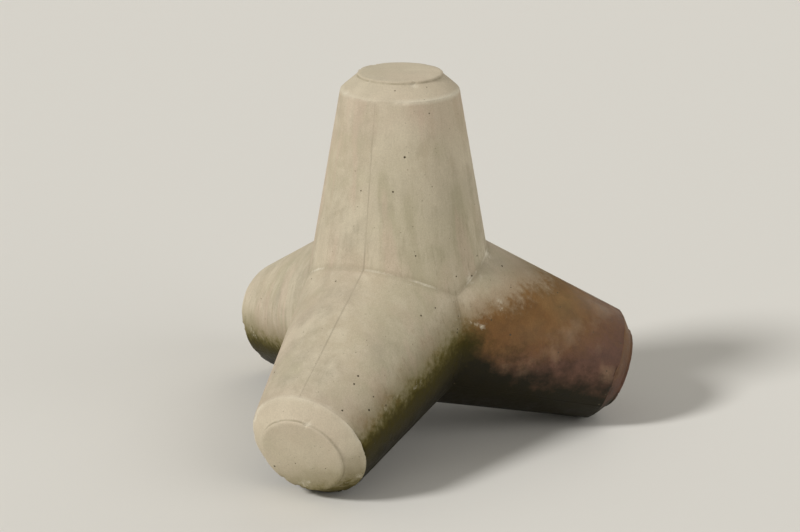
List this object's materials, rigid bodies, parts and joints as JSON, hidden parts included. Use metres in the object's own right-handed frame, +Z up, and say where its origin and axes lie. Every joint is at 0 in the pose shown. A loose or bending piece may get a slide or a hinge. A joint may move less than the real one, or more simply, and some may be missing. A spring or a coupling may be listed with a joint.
{
  "type": "concrete tetrapod",
  "caption": "Cast concrete armour block with tapered round legs that point to the corners of a tetrahedron, so that blocks lock together and break the waves on a sea wall.",
  "frame": {"origin": "centre of the block, where the axes of the legs meet", "axes": "+Z up along the upright leg, -Y along the front one of the three lower legs"},
  "size_m": [3.6212, 3.2671, 3.0395],
  "materials": {
    "cast_concrete": "weathered cast concrete, warm grey, with a tide band of olive algae and brown stain on the lower legs"
  },
  "bodies": {
    "root": {"tetrapod_block": "cast_concrete"}
  },
  "joints": []
}
